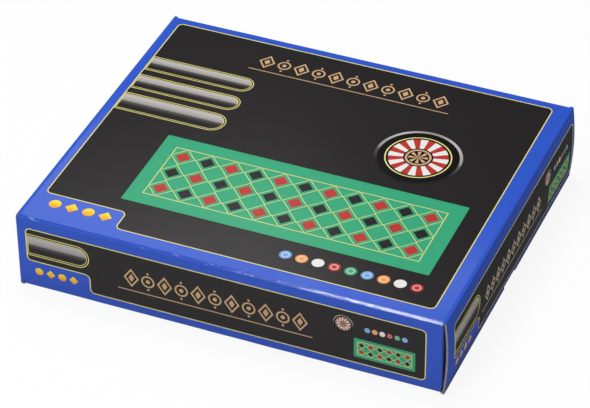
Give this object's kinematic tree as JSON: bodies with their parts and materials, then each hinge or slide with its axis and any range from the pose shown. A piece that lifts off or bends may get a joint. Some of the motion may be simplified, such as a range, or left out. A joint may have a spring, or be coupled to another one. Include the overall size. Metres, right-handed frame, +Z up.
{
  "type": "roulette set case",
  "caption": "Flat tuck-end carton with hinged end closures, packed with a spinning roulette wheel, chip rack, rake and folded playing mat.",
  "frame": {"origin": "centre of the carton's underside, on the surface that it rests on", "axes": "+X towards the right-hand end closure, +Y from the front face to the back face, +Z up"},
  "size_m": [0.334, 0.277, 0.0639],
  "materials": {
    "printed_board": "satin laminate over four-colour print, raw edges showing",
    "plain_board": "uncoated brown corrugated board",
    "rack_plastic": "moulded with a fine texture",
    "chip_blue": "moulded, satin, cream edge spots",
    "chip_orange": "moulded, satin, cream edge spots",
    "chip_white": "moulded, satin, grey edge spots",
    "chip_red": "moulded, satin, cream edge spots",
    "chip_green": "moulded, satin, cream edge spots",
    "plaque_pink": "pearly moulded plastic",
    "plaque_mint": "pearly moulded plastic",
    "ball_white": "polished",
    "bowl_plastic": "gloss black moulding",
    "rotor_plastic": "satin moulding",
    "number_print": "printed red and black fields with plain numbers",
    "gold_plate": "bright plated finish",
    "spindle_steel": "ground",
    "bush_brass": "turned",
    "rake_plastic": "moulded",
    "cap_green": "moulded",
    "rod_chrome": "bright plated rod",
    "felt_green": "pressed felt with a printed betting grid",
    "leaflet_paper": "uncoated sheet, folded once"
  },
  "bodies": {
    "carton": {"carton_sleeve": "printed_board", "carton_glue_tab": "plain_board", "insert_platform": "plain_board", "insert_end_legs": "plain_board", "chip_rack": "rack_plastic", "chips_blue": "chip_blue", "chips_orange": "chip_orange", "chips_white": "chip_white", "chips_red": "chip_red", "chips_green": "chip_green", "plaques_pink": "plaque_pink", "plaques_mint": "plaque_mint", "roulette_balls": "ball_white", "wheel_bowl": "bowl_plastic", "wheel_spindle": "spindle_steel", "rake_grip": "rake_plastic", "rake_grip_cap": "cap_green", "rake_rod": "rod_chrome", "rake_blade": "rake_plastic", "layout_mat": "felt_green", "rules_leaflet": "leaflet_paper"},
    "rotor": {"wheel_rotor": "rotor_plastic", "rotor_bush": "bush_brass", "rotor_cone": "gold_plate", "number_ring": "number_print", "pocket_frets": "gold_plate", "turret": "gold_plate", "turret_arms": "gold_plate", "turret_finial": "gold_plate"},
    "right_closure": {"right_closure_panel": "printed_board"},
    "right_tongue": {"right_tuck_tongue": "printed_board"},
    "right_front_flap": {"right_front_dust_flap": "printed_board"},
    "right_back_flap": {"right_back_dust_flap": "printed_board"},
    "left_closure": {"left_closure_panel": "printed_board"},
    "left_tongue": {"left_tuck_tongue": "printed_board"},
    "left_front_flap": {"left_front_dust_flap": "printed_board"},
    "left_back_flap": {"left_back_dust_flap": "printed_board"}
  },
  "joints": [
    {"name": "rotor_spin", "type": "hinge", "parent": "carton", "child": "rotor", "pos_m": [-0.0305, 0, 0.0216], "axis": [0, 0, 1], "continuous": true},
    {"name": "right_closure_fold", "type": "hinge", "parent": "carton", "child": "right_closure", "pos_m": [0.1642, 0, 0.0631], "axis": [0, -1, 0], "range_deg": [0, 165]},
    {"name": "right_tongue_fold", "type": "hinge", "parent": "right_closure", "child": "right_tongue", "pos_m": [0.1642, 0, 0.0027], "axis": [0, -1, 0], "range_deg": [0, 50]},
    {"name": "right_front_flap_fold", "type": "hinge", "parent": "carton", "child": "right_front_flap", "pos_m": [0.1621, -0.1377, 0.03195], "axis": [0, 0, -1], "range_deg": [0, 75]},
    {"name": "right_back_flap_fold", "type": "hinge", "parent": "carton", "child": "right_back_flap", "pos_m": [0.1621, 0.1377, 0.03195], "axis": [0, 0, 1], "range_deg": [0, 75]},
    {"name": "left_closure_fold", "type": "hinge", "parent": "carton", "child": "left_closure", "pos_m": [-0.1642, 0, 0.0631], "axis": [0, 1, 0], "range_deg": [0, 165]},
    {"name": "left_tongue_fold", "type": "hinge", "parent": "left_closure", "child": "left_tongue", "pos_m": [-0.1642, 0, 0.0027], "axis": [0, 1, 0], "range_deg": [0, 50]},
    {"name": "left_front_flap_fold", "type": "hinge", "parent": "carton", "child": "left_front_flap", "pos_m": [-0.1621, -0.1377, 0.03195], "axis": [0, 0, 1], "range_deg": [0, 75]},
    {"name": "left_back_flap_fold", "type": "hinge", "parent": "carton", "child": "left_back_flap", "pos_m": [-0.1621, 0.1377, 0.03195], "axis": [0, 0, -1], "range_deg": [0, 75]}
  ],
  "couplings": [
    {"joint": "right_tongue_fold", "follows": "right_closure_fold", "ratio": 0.3},
    {"joint": "right_front_flap_fold", "follows": "right_closure_fold", "ratio": 0.45},
    {"joint": "right_back_flap_fold", "follows": "right_closure_fold", "ratio": 0.45},
    {"joint": "left_tongue_fold", "follows": "left_closure_fold", "ratio": 0.3},
    {"joint": "left_front_flap_fold", "follows": "left_closure_fold", "ratio": 0.45},
    {"joint": "left_back_flap_fold", "follows": "left_closure_fold", "ratio": 0.45}
  ]
}
